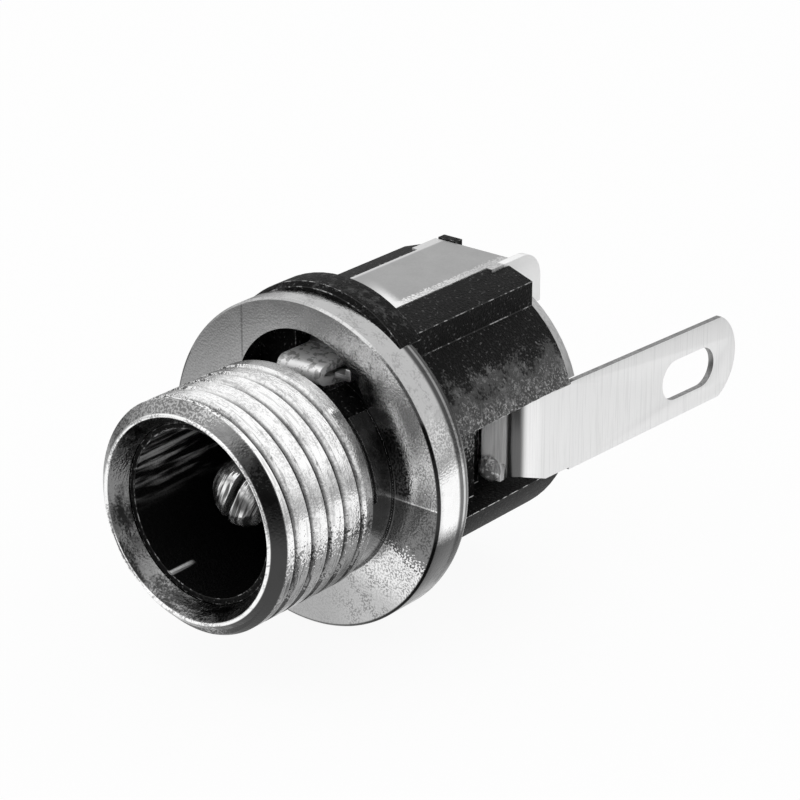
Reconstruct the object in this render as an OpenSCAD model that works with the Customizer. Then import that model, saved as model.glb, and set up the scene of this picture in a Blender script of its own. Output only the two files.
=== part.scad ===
// DC barrel jack for a panel: a threaded metal shell, a moulded housing,
// a split centre pin and stamped contacts.
// The origin is on the jack's axis, in the flange face that seats on the panel.
// The plug comes in from -Y, the solder ends are at +Y, and +Z is the spring side.

/* [Thread] */
// Major diameter of the panel thread
thread_d = 7.94; // [7.6:0.02:8.4]
// Pitch of the panel thread
thread_pitch = 0.794; // [0.7:0.002:0.9]
// Depth of the grooves between the crests
thread_depth = 0.26; // [0.15:0.01:0.35]
// Width of a groove at the crests
thread_groove_w = 0.42; // [0.3:0.02:0.6]
// Length from the mouth to the seating face of the flange
thread_reach = 5.73; // [5.2:0.01:9]
// Length of the plain neck between the thread and the flange
neck_len = 1.2; // [0.9:0.05:1.6]
// Depth of the plain neck below the crests of the thread
neck_depth = 0.16; // [0.05:0.01:0.4]

/* [Mouth] */
// Diameter of the rim at the very front
rim_d = 6.94; // [6.7:0.02:7.2]
// Width of the flat on the rim
rim_land = 0.03; // [0.01:0.01:0.1]
// Length of the chamfer that leads the nut onto the thread
lead_in = 0.42; // [0.2:0.02:0.8]
// Depth of the countersink inside the rim
countersink_depth = 0.69; // [0.3:0.01:1]

/* [Flange] */
// Width of the flange's rim around the housing
flange_wall = 1.1; // [0.9:0.05:2.4]
// Thickness of the flange with its rear rim
flange_t = 1.78; // [1.5:0.01:2.4]
// Thickness of the flange's front wall
flange_web = 0.92; // [0.6:0.01:1.2]
// Radius on the flange's rear edge
flange_round = 0.4; // [0.1:0.05:0.6]
// Small chamfer on the flange's front edge
flange_edge = 0.07; // [0.02:0.01:0.2]

/* [Spring window] */
// Diameter of the window that the contact spring works in
window_d = 5.66; // [5.5:0.02:5.8]
// Height of the window's centre above the axis
window_rise = 1.88; // [1.6:0.02:2]

/* [Housing] */
// Diameter of the moulded body behind the flange
body_d = 9.2; // [8.8:0.05:9.6]
// Length of the body from the panel face to its rear end
body_len = 8.77; // [8:0.01:12]
// Diameter of the bore that takes the plug
plug_bore_d = 5.7; // [5.5:0.02:5.8]
// Depth of the plug bore behind the panel face
bore_depth = 4.5; // [4:0.1:5]
// Wall behind the plug bore
bore_end_wall = 0.5; // [0.3:0.05:0.9]
// Wall of the liner that lines the shell
liner_t = 0.2; // [0.12:0.01:0.4]
// Distance of the liner's edge behind the countersink
liner_set_back = 0.03; // [0:0.01:0.3]
// Height by which the middle of the collar stands above the flange
collar_lip = 0.3; // [0:0.01:0.4]
// Radius of the collar's top, which is rounder than the flange
collar_curve_r = 4.5; // [4.2:0.05:5.5]
// Angle that the collar covers on each side of the top
collar_half_angle = 36; // [30:1:40]
// Length of the collar behind the rear of the flange
collar_proud = 0.33; // [0.2:0.01:0.8]
// Chamfer on the collar's front edge
collar_chamfer = 0.16; // [0.05:0.01:0.25]
// Width of the rail on each side of the contact plate
rail_w = 1.26; // [0.9:0.02:1.5]
// Height of the rails above the round side of the body
rail_rise = 0.35; // [0.25:0.05:0.6]
// Drop of the rail from the plate to its outer edge
rail_slope_drop = 0.43; // [0:0.01:0.7]
// Width of the stop behind the contact plate
stop_w = 0.8; // [0.5:0.05:1]
// Distance of the stop's inner side from the axis
stop_in = 0.85; // [0.7:0.05:1]
// Thickness of the stop behind the plate
stop_t = 0.35; // [0.2:0.05:0.5]
// Thickness of the ledge that carries the stop
stop_ledge_t = 0.4; // [0.3:0.05:0.6]
// Height of the stop above the plate
stop_rise = 0.05; // [0:0.01:0.2]
// Distance of the side pocket behind the flange
pocket_set_back = 0.17; // [0.1:0.01:0.4]
// Wall between the side pocket and the plug bore
pocket_wall = 0.4; // [0.3:0.05:0.6]

/* [Centre pin] */
// Diameter of the centre pin
pin_d = 2.1; // [1.9:0.05:2.6]
// Distance of the pin's tip behind the rim of the mouth
pin_set_back = 2.18; // [1.5:0.01:4]
// Width of the slot that splits the pin
pin_slot_w = 0.3; // [0.15:0.01:0.5]
// Length of the slot that splits the pin
pin_slot_len = 5; // [2:0.1:6]
// Turn of the slot about the axis, from the level
pin_slot_turn = 64; // [0:1:180]
// Rounding of the pin's tip
pin_nose = 0.62; // [0.2:0.02:0.9]
// Diameter of the pin's shank in the housing and the terminal
pin_shank_d = 1.4; // [1:0.05:1.8]
// Diameter of the head peened over the terminal
pin_head_d = 2.1; // [1.8:0.05:2.6]
// Height of the head peened over the terminal
pin_head_h = 0.3; // [0.15:0.01:0.5]

/* [Pin terminal] */
// Thickness of the pin terminal
terminal_t = 0.36; // [0.2:0.01:0.5]
// Distance of the terminal's straight edge below the axis
terminal_drop = 1.3; // [1.1:0.05:1.6]
// Distance of the solder tab's outer face from the axis
tab_out = 3.3; // [2.8:0.05:3.8]
// Width of the solder tab
tab_w = 2.2; // [1.8:0.05:2.5]
// Distance of the solder tab's end behind the body
tab_reach = 3.4; // [2.6:0.1:5]
// Bend radius inside the solder tab
tab_bend_r = 0.2; // [0.1:0.01:0.3]
// Diameter of the wire hole in the solder tab
wire_hole_d = 1.2; // [0.8:0.05:1.4]

/* [Sleeve contact] */
// Thickness of the sleeve contact's sheet
contact_t = 0.28; // [0.2:0.01:0.32]
// Width of the plate on top of the housing
plate_w = 2.96; // [2.7:0.02:3.1]
// Extra width of the plate's rear end on each side
plate_flare = 0.25; // [0.1:0.01:0.35]
// Length of the wide rear end
plate_rear_len = 1.3; // [1:0.05:1.8]
// Length that the plate stands out behind the body
plate_proud = 0.4; // [0.1:0.05:0.6]
// Width of the spring leaf
leaf_w = 1.8; // [1.6:0.02:2.2]
// Height of the leaf's upper arm above the wall of the plug bore
leaf_lift = 0.7; // [0.6:0.01:0.9]
// Bend radius of the leaf's nose, at the middle of the sheet
leaf_nose_r = 0.22; // [0.18:0.01:0.3]
// Distance of the leaf's nose in front of the panel face
leaf_reach = 0.2; // [0.1:0.01:0.6]
// Distance by which the leaf's bow stands into the plug bore
leaf_bite = 0.23; // [0.1:0.01:0.4]
// Radius of the bends between the plate and the leaf
leaf_bend_r = 0.4; // [0.3:0.05:0.5]
// Radius of the bow that touches the plug
leaf_bow_r = 1.6; // [1.2:0.1:2.2]
// Distance of the leaf's end in front of the end of the plug bore
leaf_end_gap = 0.1; // [0.05:0.05:0.5]
// Height of the solder ear
ear_h = 1.9; // [1.4:0.05:2.1]
// Distance of the solder ear's end behind the body
ear_reach = 1.87; // [1.6:0.01:4]
// Radius on the solder ear's upper corner
ear_round = 1; // [0.3:0.05:1.2]

/* [Shunt contact] */
// Thickness of the shunt contact's sheet
shunt_t = 0.2; // [0.12:0.01:0.25]
// Gap between the leaf's side and the shunt contact's arm
shunt_gap = 0.7; // [0.4:0.01:0.8]
// Height of the arm
shunt_arm_h = 0.42; // [0.3:0.02:0.5]
// Distance of the arm's hooked end behind the panel face
shunt_tip = 0.3; // [0.1:0.02:0.6]
// Height of the arm's upper edge above the underside of the leaf's upper arm
shunt_arm_lift = 0.27; // [0.2:0.01:0.3]
// Length of the hook that turns in towards the leaf
shunt_hook = 0.55; // [0.3:0.02:0.7]
// Width of the hook
shunt_hook_w = 0.5; // [0.3:0.05:0.8]
// Width of the riser that carries the arm
shunt_riser_w = 0.75; // [0.5:0.05:0.9]

/* [Side lug] */
// Thickness of the side lug's sheet
lug_t = 0.22; // [0.18:0.01:0.4]
// Distance of the leg in front of the body's rear end
leg_inset = 2.72; // [2.1:0.01:3]
// Distance of the leg's inner end from the axis
leg_inner = 2.75; // [2.7:0.05:3]
// Lower edge of the leg below the axis
leg_drop = 1.05; // [0.9:0.01:1.2]
// Width of the foot that hangs from the leg to take the rivet
foot_w = 0.8; // [0.7:0.05:0.9]
// Lower edge of the bend below the axis
bend_drop = 1.45; // [1.3:0.01:1.6]
// Length over which the blade widens behind the leg
root_ramp = 1.3; // [0.1:0.05:2]
// Distance of the blade's outer face inside the body's side, at the leg
blade_inset = 0.3; // [0.2:0.01:0.4]
// Angle by which the blade leans away from the axis
blade_splay = 3.15; // [0:0.05:4]
// Bend radius inside the sheet
lug_bend_r = 0.26; // [0.15:0.01:0.35]
// Height of the blade's middle line above the axis
blade_rise = -0.38; // [-0.5:0.01:-0.1]
// Width of the blade behind the housing
blade_w = 3.24; // [3:0.02:3.8]
// Width of the blade at its tip
blade_tip_w = 3.06; // [2.8:0.02:3.6]
// Width of the blade inside the housing's pocket
blade_root_w = 3.1; // [2.6:0.02:3.2]
// Distance of the blade's tip behind the body
blade_len = 9.53; // [6:0.01:16]
// Radius of the blade's rounded tip
tip_r = 1.75; // [1.7:0.01:2.4]
// Length of the slot for the wire
slot_len = 3; // [2:0.05:4]
// Width of the slot for the wire
slot_w = 1.5; // [1:0.05:1.8]
// Distance of the slot's end from the tip
slot_margin = 1.3; // [1:0.05:2]
// Distance of the slot's middle below the blade's middle line
slot_drop = 0.1; // [0:0.01:0.3]

/* [Rivet] */
// Distance of the rivet's middle below the edge of the leg
rivet_below = 0.3; // [0.2:0.01:0.4]
// Diameter of the rivet's head
rivet_head_d = 0.9; // [0.7:0.02:1]
// Diameter of the rivet's shank
rivet_d = 0.5; // [0.4:0.02:0.6]
// Height of the rivet's head
rivet_head_h = 0.34; // [0.2:0.02:0.45]

/* [Clearances] */
// Gap between the housing and the shell
shell_gap = 0.02; // [0.01:0.01:0.05]
// Angle that the collar clears at each end of the flange's notch
collar_gap_angle = 0.3; // [0.2:0.1:1]
// Gap beside a contact in its slot
slot_gap = 0.04; // [0.02:0.01:0.08]
// Gap under a contact that lies on the housing
sheet_gap = 0.01; // [0:0.01:0.02]
// Room that the spring leaf has on each side
leaf_room = 0.16; // [0.1:0.01:0.25]
// Gap that keeps contacts of different poles apart
pole_gap = 0.12; // [0.08:0.01:0.2]

/* [Hidden] */
$fn = 64;
cut = 0.5;                        // how far a cutter runs past what it cuts
lap = 0.1;                        // how far joined shapes run into each other
thread_r = thread_d / 2;
neck_r = thread_r - neck_depth;
groove_count = floor((thread_reach - lead_in - neck_len) / thread_pitch);
body_r = body_d / 2;
flange_r = body_r + flange_wall;
span = 2 * (flange_r + thread_r); // wider than any piece
bore_r = plug_bore_d / 2;
liner_r = bore_r + liner_t;
shell_bore_r = liner_r + shell_gap;
collar_rise = flange_r + collar_lip - collar_curve_r;
pin_r = pin_d / 2;
recess_r = body_r + shell_gap;    // recess in the flange that takes the housing
liner_front = -thread_reach + countersink_depth + liner_set_back;
collar_end = flange_t + collar_proud;
// Top contact plate and its channel
plate_half_w = plate_w / 2;
plate_rear_half_w = plate_half_w + plate_flare;
rail_top = body_r + rail_rise;
plate_floor = rail_top - contact_t;
plate_mid = rail_top - contact_t / 2;
plate_end = body_len + plate_proud;
plate_bend = collar_end + lap;    // where the plate starts to turn down
wide_start = plate_end - plate_rear_len;
stop_face = plate_end + slot_gap;
channel_half_w = plate_half_w + slot_gap;
channel_floor = plate_floor - sheet_gap;
rail_half_w = channel_half_w + rail_w;
// Spring leaf and its slot
leaf_half_w = leaf_w / 2;
leaf_rise = bore_r + leaf_lift;
leaf_under = leaf_rise - 2 * leaf_nose_r;
leaf_nose_mid = [-leaf_reach + contact_t / 2 + leaf_nose_r, leaf_rise - leaf_nose_r];
leaf_end = bore_depth - leaf_end_gap;
bow_mid = [bore_depth / 2, bore_r - leaf_bite + contact_t / 2 + leaf_bow_r];
leaf_slot_half_w = leaf_half_w + leaf_room;
leaf_slot_front = -leaf_reach - leaf_room;
leaf_slot_back = bore_depth + leaf_bend_r;
// Side lug
bend_mid_r = lug_bend_r + lug_t / 2;
blade_mid_x = body_r - blade_inset - lug_t / 2 * cos(blade_splay);
leg_back = body_len - leg_inset;
leg_end = leg_back + lug_t;
blade_reach = body_len + blade_len;
shoulder_y = body_len + slot_gap;
rivet_x = leg_inner + foot_w / 2;
rivet_z = -leg_drop - rivet_below;
foot_bottom = rivet_z - foot_w / 2;
pad_in = min(leg_inner, rivet_x - rivet_head_d / 2);
pad_bottom = min(foot_bottom, rivet_z - rivet_head_d / 2);
// Shunt contact
arm_in = leaf_half_w + shunt_gap;
arm_top = leaf_rise - contact_t / 2 + shunt_arm_lift;
arm_bottom = arm_top - shunt_arm_h;
tail_back = leg_end + shunt_t;
// Side pocket of the housing, and the chamber behind the plug bore
pocket_top = blade_rise + blade_root_w / 2 + slot_gap;
pocket_bottom = min(blade_rise - blade_root_w / 2, pad_bottom) - slot_gap;
pocket_floor = bore_r + pocket_wall;
chamber_front = leg_back - slot_gap;
chamber_in = arm_in - slot_gap;
chamber_top = arm_top + slot_gap;
land_x = blade_mid_x - lug_t / 2 - slot_gap;

// Helpers -----------------------------------------------------------------

// Turns a shape that stands on +Z so that it points to the rear
module along_axis() {
    rotate([-90, 0, 0]) children();
}

// Extrudes an outline drawn in X and Z, from one depth to another
module run_back(from, to) {
    translate([0, to, 0]) rotate([90, 0, 0]) linear_extrude(to - from) children();
}

// Extrudes an outline drawn in Y and Z, from one side to the other
module run_across(from, to) {
    translate([from, 0, 0]) rotate([90, 0, 90]) linear_extrude(to - from) children();
}

// Rectangle between two corners
module area(low, high) {
    translate(low) square(high - low);
}

function unit(v) = v / norm(v);
function heading(p, i) = unit(p[min(i + 1, len(p) - 1)] - p[max(i - 1, 0)]);
function shifted(p, by) =
    [for (i = [0:len(p) - 1]) p[i] + by * [-heading(p, i).y, heading(p, i).x]];
function backwards(p) = [for (i = [len(p) - 1:-1:0]) p[i]];
function arc(centre, r, from, to, steps = 8) =
    [for (i = [0:steps]) centre + r * [cos(from + (to - from) * i / steps),
                                       sin(from + (to - from) * i / steps)]];

// A bent strip of sheet seen on edge, from the path of its middle line
module strip(path, thickness) {
    polygon(concat(shifted(path, thickness / 2), backwards(shifted(path, -thickness / 2))));
}

// Wedge about the top of the axis, wider than any round part here
module top_wedge(half_angle) {
    polygon([[0, 0], span * [-sin(half_angle), cos(half_angle)],
             [0, 2 * span], span * [sin(half_angle), cos(half_angle)]]);
}

// Parts -------------------------------------------------------------------

// Section of the shell's outside, from the axis outwards, mouth at the bottom
module shell_section() {
    polygon([[0, -thread_reach],
             [rim_d / 2, -thread_reach],
             [thread_r, -thread_reach + lead_in],
             [thread_r, -neck_len],
             [neck_r, -neck_len + (thread_r - neck_r)],
             [neck_r, 0],
             [flange_r - flange_edge, 0],
             [flange_r, flange_edge],
             [flange_r, flange_t - flange_round],
             [0, flange_t - flange_round]]);
    area([0, flange_t - flange_round - lap], [flange_r - flange_round, flange_t]);
    translate([flange_r - flange_round, flange_t - flange_round]) circle(flange_round);
}

// Sections of the grooves of the thread, which run round level, without a helix
module thread_grooves() {
    for (i = [0:groove_count - 1])
        translate([thread_r, -thread_reach + lead_in + thread_pitch * (i + 0.5)])
            polygon([[0, -thread_groove_w / 2], [-thread_depth, 0],
                     [0, thread_groove_w / 2],
                     [cut, thread_groove_w / 2], [cut, -thread_groove_w / 2]]);
}

module shell() {
    color("silver")
    difference() {
        along_axis() rotate_extrude() difference() {
            shell_section();
            thread_grooves();
        }
        along_axis() translate([0, 0, -thread_reach - cut])
            cylinder(r = shell_bore_r, h = thread_reach + flange_t + 2 * cut);
        along_axis() translate([0, 0, -thread_reach])
            cylinder(r1 = rim_d / 2 - rim_land, r2 = shell_bore_r, h = countersink_depth);
        translate([0, 0, window_rise]) along_axis() translate([0, 0, -neck_len])
            cylinder(d = window_d, h = neck_len + flange_t + cut);
        along_axis() translate([0, 0, flange_web])
            cylinder(r = recess_r, h = flange_t);
        run_back(flange_web, flange_t + cut) top_wedge(collar_half_angle);
    }
}

// Cross-section of the body with the two rails on its roof
module body_section() {
    circle(body_r);
    polygon([[-rail_half_w, 0],
             [-rail_half_w, rail_top - rail_slope_drop],
             [-channel_half_w, rail_top],
             [channel_half_w, rail_top],
             [rail_half_w, rail_top - rail_slope_drop],
             [rail_half_w, 0]]);
}

// Block over the top of the body that fills the notch in the flange
module collar() {
    front = flange_web + shell_gap;
    intersection() {
        translate([0, front, collar_rise]) along_axis() rotate_extrude()
            polygon([[0, 0],
                     [collar_curve_r - collar_chamfer, 0],
                     [collar_curve_r, collar_chamfer],
                     [collar_curve_r, collar_end - front],
                     [0, collar_end - front]]);
        run_back(0, collar_end + cut) top_wedge(collar_half_angle - collar_gap_angle);
    }
}

// Room that the spring leaf needs inside the housing
module leaf_slot() {
    run_back(leaf_slot_front, leaf_slot_back)
        area([-leaf_slot_half_w, 0], [leaf_slot_half_w, plate_mid]);
}

// Channel on the roof for the contact plate, wider at its rear end
module plate_channel() {
    rear_half_w = plate_rear_half_w + slot_gap;
    run_back(flange_web - cut, body_len + cut)
        area([-channel_half_w, channel_floor], [channel_half_w, rail_top + slot_gap]);
    run_back(wide_start - slot_gap, body_len + cut)
        area([-rear_half_w, channel_floor], [rear_half_w, rail_top + cut]);
}

// Slots for the shunt contact and the solder ear, open at the rear for assembly
module contact_chamber() {
    run_back(flange_web - cut, chamber_front + cut)
        area([leaf_slot_half_w - lap, arm_bottom - slot_gap],
             [arm_in + shunt_t + slot_gap, chamber_top]);
    run_back(chamber_front, body_len + cut) {
        area([chamber_in, pocket_bottom], [land_x, pocket_top]);
        area([chamber_in, 0], [arm_in + shunt_riser_w + slot_gap, chamber_top]);
    }
    run_back(wide_start - slot_gap, body_len + cut)
        area([plate_rear_half_w - contact_t - slot_gap, rail_top - ear_h - slot_gap],
             [plate_rear_half_w + slot_gap, rail_top + cut]);
}

// Pocket in the side of the housing, where the side lug comes out
module lug_pocket() {
    run_back(flange_t + pocket_set_back, chamber_front + cut)
        area([pocket_floor, pocket_bottom], [span, pocket_top]);
    run_back(bore_depth + bore_end_wall, body_len + cut)
        area([pad_in - slot_gap, pocket_bottom], [span, pocket_top]);
}

// Stop behind the contact plate, on a ledge of the roof
module plate_stop() {
    low = channel_floor - stop_ledge_t;
    run_back(body_len - lap, stop_face + stop_t)
        area([-stop_in - stop_w, low], [-stop_in, channel_floor]);
    run_back(stop_face, stop_face + stop_t)
        area([-stop_in - stop_w, low], [-stop_in, rail_top + stop_rise]);
}

module housing() {
    color("dimgray") plate_stop();
    color("dimgray")
    difference() {
        union() {
            run_back(flange_web + shell_gap, flange_t + shell_gap) circle(body_r);
            run_back(flange_t + shell_gap, body_len) body_section();
            collar();
            along_axis() translate([0, 0, liner_front])
                cylinder(r = liner_r, h = flange_t - liner_front);
        }
        along_axis() translate([0, 0, liner_front - cut])
            cylinder(r = bore_r, h = bore_depth - liner_front + cut);
        along_axis() cylinder(d = pin_shank_d, h = body_len + cut);
        leaf_slot();
        plate_channel();
        contact_chamber();
        lug_pocket();
    }
}

// Section of the pin from the axis outwards, from its rounded tip to its peened head
module pin_section() {
    tip = pin_set_back - thread_reach;
    head_back = body_len + terminal_t;
    area([0, tip], [pin_r - pin_nose, tip + pin_nose + lap]);
    translate([pin_r - pin_nose, tip + pin_nose]) intersection() {
        circle(pin_nose);
        area([0, -pin_nose], [pin_nose, pin_nose]);
    }
    area([0, tip + pin_nose], [pin_r, bore_depth]);
    area([0, bore_depth - lap], [pin_shank_d / 2, head_back + lap]);
    intersection() {
        area([0, head_back], [pin_head_d / 2, head_back + pin_head_h]);
        translate([0, head_back + pin_head_h - pin_head_d]) circle(pin_head_d);
    }
}

module centre_pin() {
    slot_end = pin_set_back - thread_reach + pin_slot_len;
    color("gainsboro")
    difference() {
        along_axis() rotate_extrude() pin_section();
        rotate([0, 90 - pin_slot_turn, 0])
            translate([-pin_slot_w / 2, -thread_reach, -pin_d])
            cube([pin_slot_w, thread_reach + slot_end, 2 * pin_d]);
    }
}

// Solder tab seen from the side
module tab_outline() {
    end_mid = body_len + tab_reach - tab_w / 2;
    difference() {
        union() {
            area([body_len, -tab_w / 2], [end_mid, tab_w / 2]);
            translate([end_mid, 0]) circle(d = tab_w);
        }
        translate([end_mid, 0]) circle(d = wire_hole_d);
    }
}

// Stamped plate on the rear of the housing, peened to the pin, with a solder tab
module pin_terminal() {
    tab_root = tab_out - terminal_t - tab_bend_r;
    mid_r = tab_bend_r + terminal_t / 2;
    mid_y = body_len + terminal_t / 2;
    path = concat([[lap - tab_root, mid_y]],
                  arc([-tab_root, mid_y + mid_r], mid_r, -90, -180),
                  [[-tab_root - mid_r, body_len + tab_reach]]);
    color("lightgray") {
        run_back(body_len, body_len + terminal_t) difference() {
            intersection() {
                circle(body_r - slot_gap);
                area([-tab_root, -terminal_drop], [body_r, body_r]);
            }
            circle(d = pin_shank_d);
            // room for the side lug
            area([land_x - pole_gap, -body_r],
                 [body_r + cut, blade_rise + blade_w / 2 + pole_gap]);
            // room for the solder ear and the contact plate
            area([plate_rear_half_w - contact_t - pole_gap, rail_top - ear_h - pole_gap],
                 [plate_rear_half_w + pole_gap, body_r + cut]);
            area([-body_r, channel_floor - stop_ledge_t - pole_gap],
                 [body_r, body_r + cut]);
        }
        intersection() {
            translate([0, 0, -body_r]) linear_extrude(body_d) strip(path, terminal_t);
            run_across(-body_r, 0) tab_outline();
        }
    }
}

// Middle line of the spring: from the plate down through the notch in the flange,
// round the nose and back into the bore, where it bows down to touch the plug
leaf_path = concat(
    [[plate_bend + cut, plate_mid]],
    arc([plate_bend, plate_mid - leaf_bend_r], leaf_bend_r, 90, 135, 3),
    arc([flange_web + leaf_bend_r, leaf_rise + leaf_bend_r], leaf_bend_r, -45, -90, 3),
    arc(leaf_nose_mid, leaf_nose_r, 90, 270, 12),
    arc(bow_mid, leaf_bow_r, -115, -65, 6),
    [[leaf_end, leaf_under]]);

// Solder ear seen from the side
module ear_outline() {
    top = rail_top;
    end = body_len + ear_reach;
    area([wide_start, top - ear_h], [end - ear_round, top]);
    area([wide_start, top - ear_h], [end, top - ear_round]);
    translate([end - ear_round, top - ear_round]) circle(ear_round);
}

module sleeve_contact() {
    color("darkgray") {
        run_back(plate_bend + cut - lap, plate_end)
            area([-plate_half_w, plate_floor], [plate_half_w, rail_top]);
        run_back(wide_start, plate_end)
            area([-plate_rear_half_w, plate_floor], [plate_rear_half_w, rail_top]);
        run_across(plate_rear_half_w - contact_t, plate_rear_half_w) ear_outline();
        run_across(-leaf_half_w, leaf_half_w) strip(leaf_path, contact_t);
    }
}

// Normally closed contact: a tail under the lug's rivet, a riser, an arm and a hook
module shunt_contact() {
    arm_mid = arm_in + shunt_t / 2;
    color("goldenrod") {
        run_back(leg_end, tail_back) {
            difference() {
                area([arm_in, foot_bottom], [leg_inner + foot_w, 0]);
                translate([rivet_x, rivet_z]) circle(d = rivet_d);
            }
            area([arm_in, -lap], [arm_in + shunt_riser_w, arm_top]);
        }
        run_across(arm_in, arm_in + shunt_t)
            area([shunt_tip, arm_bottom], [leg_end + shunt_t / 2, arm_top]);
        run_back(shunt_tip, shunt_tip + shunt_hook_w)
            area([arm_mid - shunt_hook, arm_bottom], [arm_mid, arm_bottom + shunt_t]);
    }
}

// Blade and leg seen from the side: root, shoulders, taper, round tip and slot
module lug_outline() {
    half_tip = blade_tip_w / 2;
    half_root = blade_root_w / 2;
    tip_mid = blade_reach - tip_r;
    slot_end = blade_reach - slot_margin - slot_w / 2;
    bend_edge = -bend_drop - blade_rise;
    translate([0, blade_rise]) difference() {
        union() {
            polygon([[leg_back, half_root], [leg_back, bend_edge],
                     [leg_end, bend_edge], [leg_end + root_ramp, -half_root],
                     [shoulder_y + lap, -half_root], [shoulder_y + lap, half_root]]);
            intersection() {
                polygon([[shoulder_y, -blade_w / 2], [blade_reach, -half_tip],
                         [blade_reach, half_tip], [shoulder_y, blade_w / 2]]);
                union() {
                    translate([tip_mid, 0]) circle(tip_r);
                    area([shoulder_y, -blade_w], [tip_mid, blade_w]);
                }
            }
        }
        for (along = [slot_end, slot_end - slot_len + slot_w])
            translate([along, -slot_drop]) circle(d = slot_w);
        area([slot_end - slot_len + slot_w, -slot_drop - slot_w / 2],
             [slot_end, -slot_drop + slot_w / 2]);
    }
}

module side_lug() {
    bend_x = blade_mid_x - bend_mid_r * cos(blade_splay);
    leg_mid = leg_back + lug_t / 2;
    steps = 10;
    bend = arc([bend_x, leg_mid + bend_mid_r], bend_mid_r, -90, -blade_splay, steps);
    blade_end = bend[steps] + (blade_reach - bend[steps].y) * [tan(blade_splay), 1];
    path = concat([[leg_inner, leg_mid]], bend, [blade_end]);
    color("whitesmoke")
    difference() {
        union() {
            intersection() {
                translate([0, 0, -flange_r]) linear_extrude(2 * flange_r) strip(path, lug_t);
                run_across(leg_inner - cut, span) lug_outline();
                // the leg is cut higher than the bend
                run_back(leg_back - cut, blade_reach + cut)
                    polygon([[leg_inner - cut, -leg_drop], [bend_x, -leg_drop],
                             [bend_x, -flange_r], [span, -flange_r],
                             [span, flange_r], [leg_inner - cut, flange_r]]);
            }
            run_back(leg_back, leg_end)
                area([leg_inner, foot_bottom], [leg_inner + foot_w, 0]);
        }
        run_back(leg_back - cut, leg_end + cut)
            translate([rivet_x, rivet_z]) circle(d = rivet_d);
    }
}

// Rivet with a domed head in front of the leg and a flat one behind the shunt
module lug_rivet() {
    dome_r = rivet_head_d / 2 + lap;
    color("gray")
    translate([rivet_x, 0, rivet_z]) along_axis() {
        translate([0, 0, leg_back - rivet_head_h]) intersection() {
            cylinder(d = rivet_head_d, h = rivet_head_h);
            translate([0, 0, dome_r]) sphere(dome_r);
        }
        translate([0, 0, leg_back - lap]) cylinder(d = rivet_d, h = lug_t + shunt_t + 2 * lap);
        translate([0, 0, tail_back]) cylinder(d = rivet_head_d, h = rivet_head_h / 2);
    }
}

shell();
housing();
centre_pin();
pin_terminal();
sleeve_contact();
shunt_contact();
side_lug();
lug_rivet();
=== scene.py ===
import math

import bpy
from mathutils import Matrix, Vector


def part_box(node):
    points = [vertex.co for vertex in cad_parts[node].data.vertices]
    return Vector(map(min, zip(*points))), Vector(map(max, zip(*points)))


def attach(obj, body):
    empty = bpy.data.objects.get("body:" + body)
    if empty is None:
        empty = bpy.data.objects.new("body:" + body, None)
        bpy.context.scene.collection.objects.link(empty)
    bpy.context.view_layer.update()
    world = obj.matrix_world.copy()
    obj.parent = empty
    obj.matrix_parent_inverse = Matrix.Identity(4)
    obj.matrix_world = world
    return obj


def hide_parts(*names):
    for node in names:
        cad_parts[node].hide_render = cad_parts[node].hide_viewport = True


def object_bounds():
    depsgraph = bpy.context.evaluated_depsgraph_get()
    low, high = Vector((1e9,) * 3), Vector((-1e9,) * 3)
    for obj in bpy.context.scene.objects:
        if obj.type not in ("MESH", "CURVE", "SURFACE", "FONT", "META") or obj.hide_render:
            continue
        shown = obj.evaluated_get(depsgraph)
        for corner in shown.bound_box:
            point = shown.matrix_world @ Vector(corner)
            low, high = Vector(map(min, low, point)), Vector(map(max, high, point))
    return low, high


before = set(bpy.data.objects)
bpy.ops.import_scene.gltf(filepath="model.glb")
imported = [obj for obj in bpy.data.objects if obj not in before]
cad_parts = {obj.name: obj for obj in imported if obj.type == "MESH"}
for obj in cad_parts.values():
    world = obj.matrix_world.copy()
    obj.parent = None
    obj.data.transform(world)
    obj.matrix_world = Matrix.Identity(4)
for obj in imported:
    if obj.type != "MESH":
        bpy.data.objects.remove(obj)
cad_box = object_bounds()
MM = 0.001


# ---------------------------------------------------------------------------
# Shell. Turned from a brass bar on a lathe, with a single-point thread, then
# drilled through the neck for the contact spring and bright nickel plated.
# The flange's back is bored out and notched for the moulded housing.

shell_low, shell_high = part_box("shell")
mouth_y = shell_low.y
flange_back_y = shell_high.y
flange_r = shell_high.x
thread_r = 3.97 * MM
thread_pitch = 0.794 * MM
thread_depth = 0.26 * MM
neck_front_y = -1.2 * MM
neck_r = 3.81 * MM
rim_r = 3.47 * MM
bore_r = 3.07 * MM
countersink_back_y = mouth_y + 0.69 * MM
chamfer_back_y = mouth_y + 0.42 * MM
web_back_y = 0.92 * MM
recess_r = 4.62 * MM
flange_round = 0.4 * MM
window_r = 2.83 * MM
window_z = 1.88 * MM
notch_half_angle = math.radians(36)
notch_reach = 12 * MM


def deselect():
    if bpy.context.object and bpy.context.object.mode != "OBJECT":
        bpy.ops.object.mode_set(mode="OBJECT")
    bpy.ops.object.select_all(action="DESELECT")


def edit(piece):
    deselect()
    piece.select_set(True)
    bpy.context.view_layer.objects.active = piece
    bpy.ops.object.mode_set(mode="EDIT")
    bpy.ops.mesh.select_all(action="SELECT")


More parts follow.
